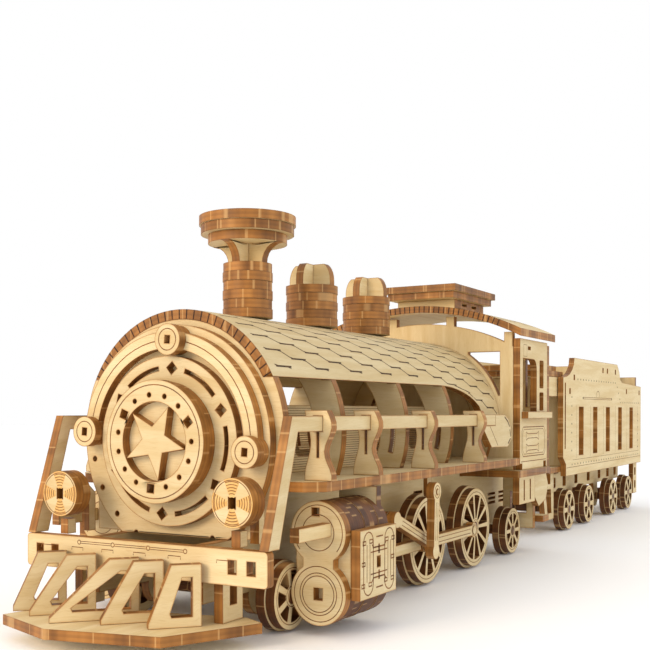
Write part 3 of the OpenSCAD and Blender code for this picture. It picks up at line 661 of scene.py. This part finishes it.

# Brackets at the rail's rear end: a fold line, and dashed dark lines along the rounded corner, painted
# shadow of the gap at the plate's edge
bracket_low, bracket_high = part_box("handrail_brackets")
bracket_x, bracket_z = bracket_high.x / MM, bracket_low.z / MM
CORNER_SHADOW_LINES = ([(-17.6, 8.6), (-20.2, 7.3), (-21.7, 5.8)], [(-21.9, 5), (-22.7, 2.9)],
                [(-22.5, 2.4), (-20.4, 0.9)])
bracket_lines = Marks("bracket_scored_lines", "locomotive", line_mat)
bracket_shadow_lines = Marks("bracket_shadow_lines", "locomotive", slit_gap_shade_mat)
for side in (-1, 1):
    face = on_side(bracket_high.y, side)
    bracket_lines.line(face, [(bracket_x - 5.8, bracket_z + 6.2), (bracket_x - 12.2, bracket_z + 0.6)], 0.18)
    # These dark lines are painted shadow, not cuts
    for path in CORNER_SHADOW_LINES:
        bracket_shadow_lines.line(face, [(bracket_x + dx, bracket_z + dz) for dx, dz in path], 0.34)
bracket_lines.finish()
bracket_shadow_lines.finish()

# Core sides: rows of fine scored lines, like louvres
core_low, core_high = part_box("core_sides")
LOUVRES = 26
LOUVRE_PITCH = 0.55
louvres = Marks("core_louvres", "locomotive", line_mat)
for side in (-1, 1):
    face = on_side(core_high.y, side)
    for i in range(LOUVRES):
        z = core_low.z / MM + 0.6 + LOUVRE_PITCH * i
        louvres.line(face, [(core_low.x / MM + 0.6, z), (core_high.x / MM - 0.6, z)], 0.09)
louvres.finish()

# Tender sides: rows of rivet holes, upright lines between the windows, a long bar with a small
# mound and two lines below the windows. Shares run from the front edge, 0, to the rear edge, 1
side_low, side_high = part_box("tender_sides")
tx0, tx1, tz0, tz1 = side_low.x / MM, side_high.x / MM, side_low.z / MM, side_high.z / MM
RIVET_RADIUS = 0.36
RIVET_STEP = 0.0308
PANEL_LINES = (0.14, 0.295, 0.455, 0.615, 0.78, 0.945)
BAR_ENDS = (0.21, 0.56)
# Each rivet hole is a dark dot: char plus painted shade inside the hole
rivets = Marks("tender_rivet_holes", "tender", char_and_shade_mat)
tender_lines = Marks("tender_scored_lines", "tender", line_mat)
long_side = tx1 - tx0
for side in (-1, 1):
    face = on_side(side_high.y, side)
    back = lambda share: tx1 - share * long_side
    for i in range(16):
        rivets.dot(face, back(0.152 + 0.0307 * i), tz1 - 7.9, RIVET_RADIUS)
    for i in range(3):
        rivets.dot(face, back(0.64 + 0.018 * i), tz1 - 9.6 - 2.6 * i, RIVET_RADIUS)
    for i in range(10):
        rivets.dot(face, back(0.69 + 0.0305 * i), tz1 - 16.2, RIVET_RADIUS)
    for i in range(29):
        rivets.dot(face, back(0.092 + RIVET_STEP * i), tz0 + 4.0, RIVET_RADIUS)
    for i in range(7):
        rivets.dot(face, back(0.088), tz0 + 9.2 + 3.3 * i, RIVET_RADIUS)
        if i < 6:
            rivets.dot(face, back(0.952), tz0 + 7.4 + 3.0 * i, RIVET_RADIUS)
    tender_lines.line(face, [(back(0.035), tz0 + 3.0), (back(0.995), tz0 + 3.0)], 0.13)
    z = tz1 - 14.9
    for off in (-0.3, 0.3):
        tender_lines.line(face, [(back(share), z + off) for share in BAR_ENDS], 0.13)
    for share in PANEL_LINES:
        tender_lines.line(face, [(back(share), tz0 + 6.2), (back(share), tz0 + 26)], 0.12)
    tender_lines.line(face, [(back(0.1), tz0 + 5.6), (back(0.97), tz0 + 5.6)], 0.1)
    mound = [(back(0.385) + 2.6 * math.cos(math.radians(a)), z + 0.5 + 2.5 * math.sin(math.radians(a)))
             for a in range(0, 181, 15)]
    tender_lines.line(face, mound, 0.2)
    for share in BAR_ENDS:
        rivets.dot(face, back(share), z, 0.5)
rivets.finish()
tender_lines.finish()

# Boiler sheet: staggered slits that let it bend, and the kerfs seen at its front edge, drawn dark with burn
# plus painted shade in their gaps
sheet_low_corner, sheet_high_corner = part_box("boiler_sheet")
axis_z = bend_centre["boiler_sheet"] / MM
sheet_r = sheet_high_corner.z / MM - axis_z
sheet_x1 = sheet_high_corner.x / MM
sheet_x0 = sheet_low_corner.x / MM
sheet_points = [(v.co.x / MM, math.degrees(math.atan2(abs(v.co.y), v.co.z - bend_centre["boiler_sheet"])))
                for v in nodes["boiler_sheet"].data.vertices
                if math.hypot(v.co.y, v.co.z - bend_centre["boiler_sheet"]) / MM > sheet_r - 0.2]


def on_boiler(run, arc):
    """Places (distance back from the front edge, arc length from the crown) on the outside of the sheet."""
    r = sheet_r + 0.015
    return Vector(((sheet_x1 - run) * MM, r * math.sin(arc / r) * MM, (axis_z + r * math.cos(arc / r)) * MM))


sweep = sorted({(round(sheet_x1 - x, 2), round(a, 2)) for x, a in sheet_points if a > 60})


def edge_arc(run):
    """Arc length from the crown to the lower edge of the sheet at this distance."""
    best = 0
    for place, angle in sweep:
        if place <= run + 0.5:
            best = max(best, angle)
    return math.radians(best) * sheet_r if best else 28.0


# One slit: two straight runs joined by a long S that climbs to the next row
unit = [(0, 0), (4.2, 0), (5.4, 0.3), (7.4, 1.75), (8.6, 2.05), (13.4, 2.05)]
ROWS_EACH_WAY = 16
slits = Marks("boiler_sheet_slits", "locomotive", slit_gap_shade_mat, "bent_ply")
length = sheet_x1 - sheet_x0
ROW_PITCH = 2.15
COLUMN_PITCH = 15.2
for r in range(-ROWS_EACH_WAY, ROWS_EACH_WAY + 1):
    arc0 = r * ROW_PITCH
    for c in range(-1, 9):
        start = 3.0 + c * COLUMN_PITCH - (r % 2) * COLUMN_PITCH / 2
        points = [(start + x, arc0 + a) for x, a in unit]
        points = [(x, a) for x, a in points if 1.6 < x < length - 0.8 and abs(a) < edge_arc(x) - 0.9]
        if len(points) > 1:
            slits.line(on_boiler, points, 0.24)
slits.finish()

# Kerf ends at the front edges are dark quads: char plus painted shade in the gaps
kerfs = Marks("boiler_sheet_kerfs", "locomotive", char_and_shade_mat, "bent_ply")
front_x = sheet_high_corner.x + LIFT
edge_angle = math.degrees(edge_arc(5) / sheet_r)
SHEET_KERFS_EACH_WAY = 14
ROOF_KERFS_EACH_WAY = 17
# The roof is slit over this share of its arc, so that its eaves stay stiff
ROOF_SLIT_SHARE = 0.8


def kerf(x, axis, r_in, r_out, a, half_width):
    """Dark end of a slit, across the edge of a bent sheet, at the angle a from its crown: char plus painted
    shade in the gap.
    """
    w = half_width / r_out
    spots = [(r_in, a - w), (r_out, a - w), (r_out, a + w), (r_in, a + w)]
    kerfs.quad(*[Vector((x, r * math.sin(t) * MM, (axis + r * math.cos(t)) * MM)) for r, t in spots])


for i in range(-SHEET_KERFS_EACH_WAY, SHEET_KERFS_EACH_WAY + 1):
    a = math.radians(edge_angle * i / (SHEET_KERFS_EACH_WAY + 0.5))
    kerf(front_x, axis_z, sheet_r - 1.95, sheet_r, a, 0.16)
roof_low, roof_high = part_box("cab_roof")
roof_axis = bend_centre["cab_roof"] / MM
roof_r = roof_high.z / MM - roof_axis
half_angle = math.degrees(math.asin(roof_high.y / MM / roof_r))
for x, sign in ((roof_high.x, 1), (roof_low.x, -1)):
    for i in range(-ROOF_KERFS_EACH_WAY, ROOF_KERFS_EACH_WAY + 1):
        a = math.radians(half_angle * ROOF_SLIT_SHARE * i / ROOF_KERFS_EACH_WAY)
        kerf(x + sign * LIFT, roof_axis, roof_r - 2.0, roof_r, a, 0.18)
kerfs.finish()


def on_roof(run, arc):
    """Places (distance back from the front edge, arc length from the crown) on top of the roof."""
    r = roof_r + 0.015
    return Vector((roof_high.x - run * MM, r * math.sin(arc / r) * MM,
                   (roof_axis + r * math.cos(arc / r)) * MM))


# The roof's slits are dark lines too: burn plus painted shade in the gaps
roof_slits = Marks("cab_roof_slits", "locomotive", slit_gap_shade_mat, "bent_ply")
roof_long = (roof_high.x - roof_low.x) / MM
for i in range(-ROOF_KERFS_EACH_WAY, ROOF_KERFS_EACH_WAY + 1):
    arc = math.radians(half_angle * ROOF_SLIT_SHARE * i / ROOF_KERFS_EACH_WAY) * roof_r
    if i % 2:
        roof_slits.line(on_roof, [(0.4, arc), (roof_long * 0.42, arc)], 0.2)
        roof_slits.line(on_roof, [(roof_long * 0.58, arc), (roof_long - 0.4, arc)], 0.2)
    else:
        roof_slits.line(on_roof, [(roof_long * 0.12, arc), (roof_long * 0.88, arc)], 0.2)
roof_slits.finish()

# ---------- floor, light and camera ----------
scene = bpy.context.scene
ground_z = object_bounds()[0].z
floor_mesh = bpy.data.meshes.new("floor_paper")
reach = 2.5
floor_mesh.from_pydata([(-reach, -reach, ground_z), (reach, -reach, ground_z), (reach, reach, ground_z),
                        (-reach, reach, ground_z)], [], [(0, 1, 2, 3)])
floor_mesh.materials.append(floor_paper("white paper", "#FFFFFF"))
floor = bpy.data.objects.new("floor_paper", floor_mesh)
scene.collection.objects.link(floor)

world = bpy.data.worlds.new("soft studio") if scene.world is None else scene.world
scene.world = world
world.use_nodes = True
sky = world.node_tree.nodes["Background"]
sky.inputs["Color"].default_value = linear("#FFFFFF")
sky.inputs["Strength"].default_value = 1.0


def lamp(name, place, target, width, power, colour):
    light = bpy.data.lights.new(name, "AREA")
    light.size = width
    light.energy = power
    light.color = linear(colour)[:3]
    made = bpy.data.objects.new(name, light)
    made.location = place
    made.rotation_euler = (Vector(target) - Vector(place)).to_track_quat("-Z", "Y").to_euler()
    scene.collection.objects.link(made)


# A warm key lights the front from ahead and to the right, and a weak wide fill lifts the left side
lamp("key", (0.95, -0.25, 0.38), (0.05, 0, 0.03), 0.4, 4.8, "#FFE4C4")
lamp("side fill", (0.1, 0.9, 0.45), (0, 0, 0.04), 0.7, 1.1, "#FFFFFF")

# The camera stands ahead of the left front corner, a little above the boiler's axis
beam_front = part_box("buffer_beam")[1].x
EYE_AHEAD, EYE_LEFT, EYE_HEIGHT = 0.1495, 0.1283, 0.0446
AIM_BEHIND, AIM_RIGHT, AIM_HEIGHT = 0.10475, 0.01871, 0.04059
eye = Vector((beam_front + EYE_AHEAD, EYE_LEFT, EYE_HEIGHT))
look_at = Vector((beam_front - AIM_BEHIND, -AIM_RIGHT, AIM_HEIGHT))
camera_data = bpy.data.cameras.new("camera")
FILM_WIDTH = 36
# Focal length, and rise of the lens that leaves room above the train, as shares of the film's width
FOCAL_SHARE = 1.536308
LENS_RISE = 0.153846
camera_data.lens = FOCAL_SHARE * FILM_WIDTH
camera_data.sensor_width = FILM_WIDTH
camera_data.shift_y = LENS_RISE
camera_data.clip_start = 0.01
camera = bpy.data.objects.new("camera", camera_data)
camera.location = eye
turn = (look_at - eye).to_track_quat("-Z", "Y")
camera.rotation_euler = turn.to_euler()
scene.collection.objects.link(camera)
scene.camera = camera
scene.view_settings.view_transform = "Standard"
